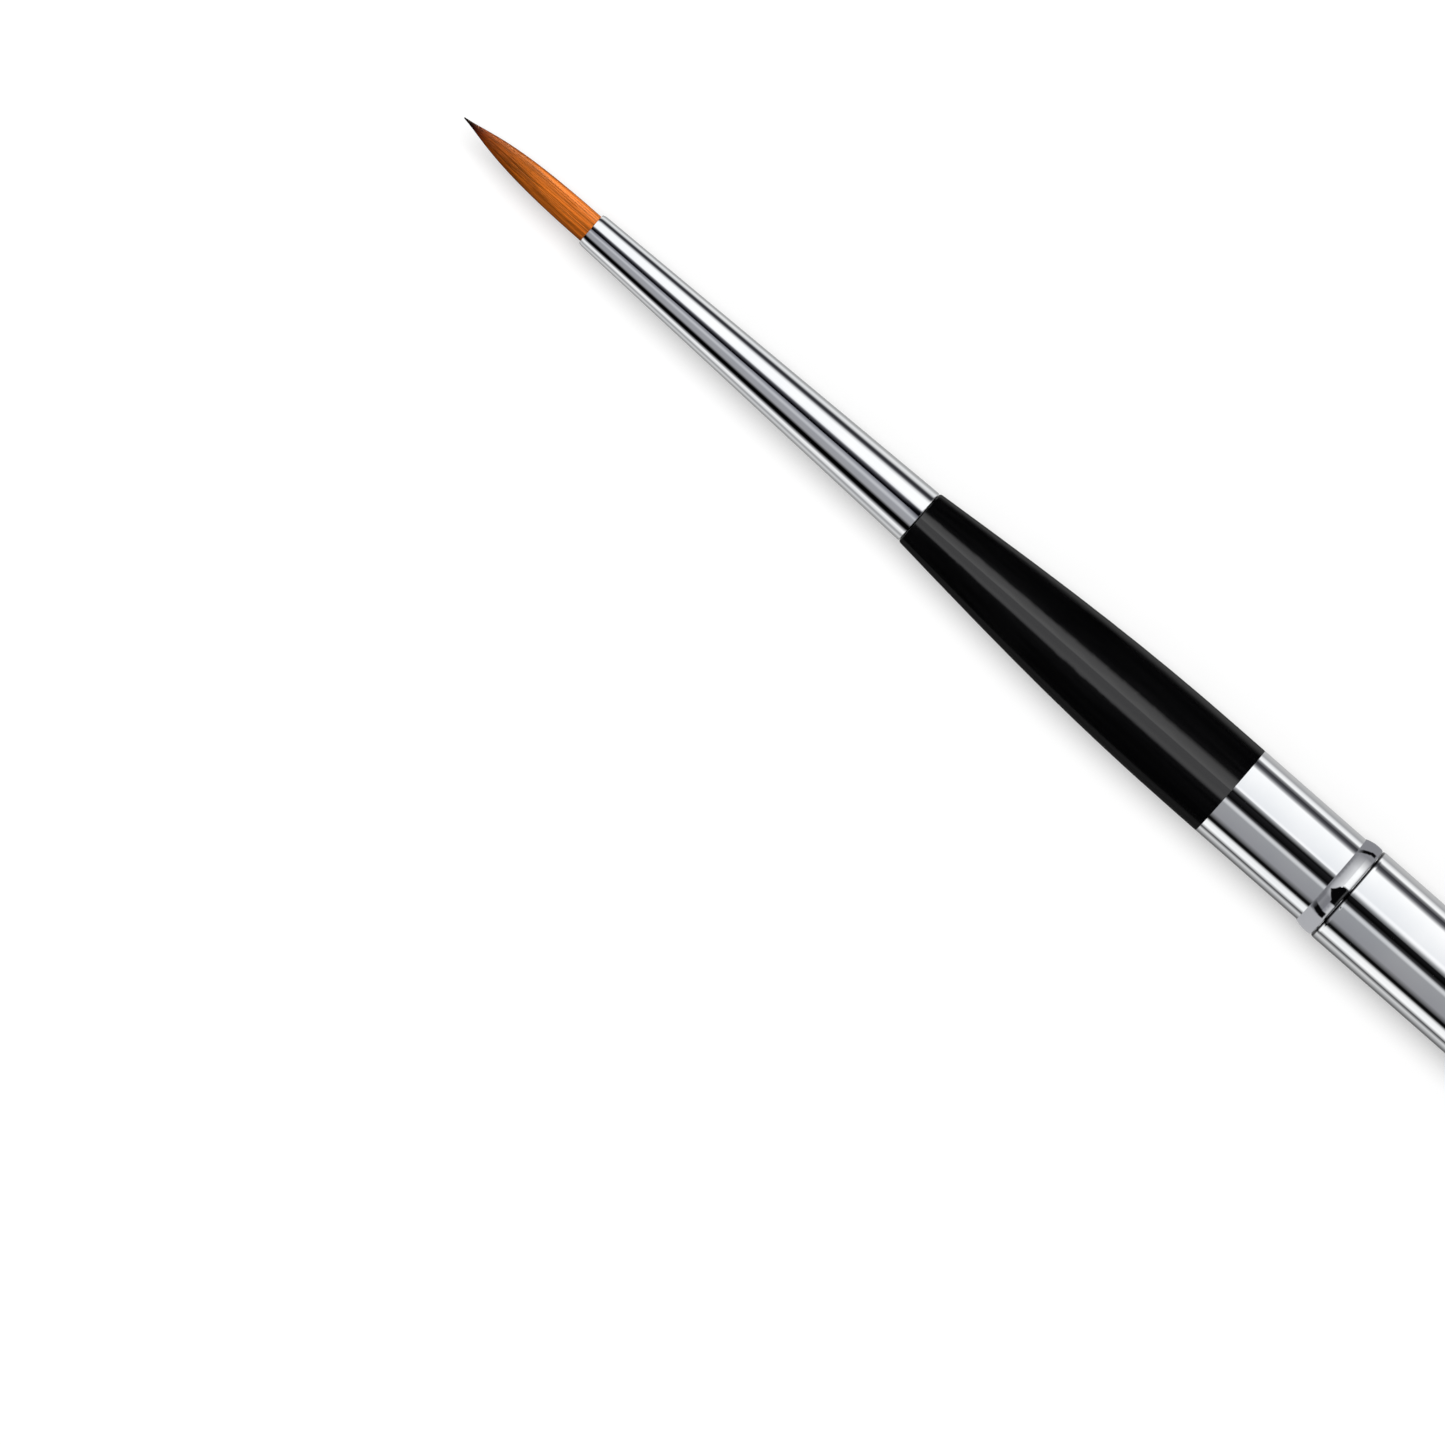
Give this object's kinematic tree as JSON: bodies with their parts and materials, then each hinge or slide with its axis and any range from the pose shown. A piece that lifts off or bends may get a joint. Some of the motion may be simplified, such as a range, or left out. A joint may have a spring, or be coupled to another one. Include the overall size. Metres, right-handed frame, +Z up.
{
  "type": "pocket detail brush",
  "caption": "Fine pointed hair tuft in a tapered chrome ferrule, with a black ogive grip and a chrome handle tube that the head pulls out of and stores in.",
  "frame": {"origin": "under the middle of the brush's length, on the surface that the handle tube rests on", "axes": "+X along the brush, from the point of the tuft towards the tail cap; +Z up from the surface"},
  "size_m": [0.205, 0.009, 0.009],
  "materials": {
    "hair": "satin",
    "thread": "matte",
    "resin": "gloss",
    "chrome": "polished",
    "black_grip": "gloss"
  },
  "bodies": {
    "handle": {"handle_tube": "chrome", "tail_cap": "chrome"},
    "head": {"ferrule": "chrome", "root_binding": "thread", "root_resin": "resin", "grip": "black_grip", "coupling_sleeve": "chrome", "stop_collar": "chrome", "spigot_plug": "chrome"},
    "tuft": {"hair_tuft": "hair"}
  },
  "joints": [
    {"name": "head_pull", "type": "slide", "parent": "handle", "child": "head", "axis": [-1, 0, 0], "range_m": [0, 0.012]},
    {"name": "tuft_flex", "type": "hinge", "parent": "head", "child": "tuft", "pos_m": [-0.0889, 0, 0.0045], "axis": [0, 0, 1], "range_deg": [-35, 35], "stiffness_Nm_per_rad": 0.0005, "deforming": ["hair_tuft"]}
  ]
}
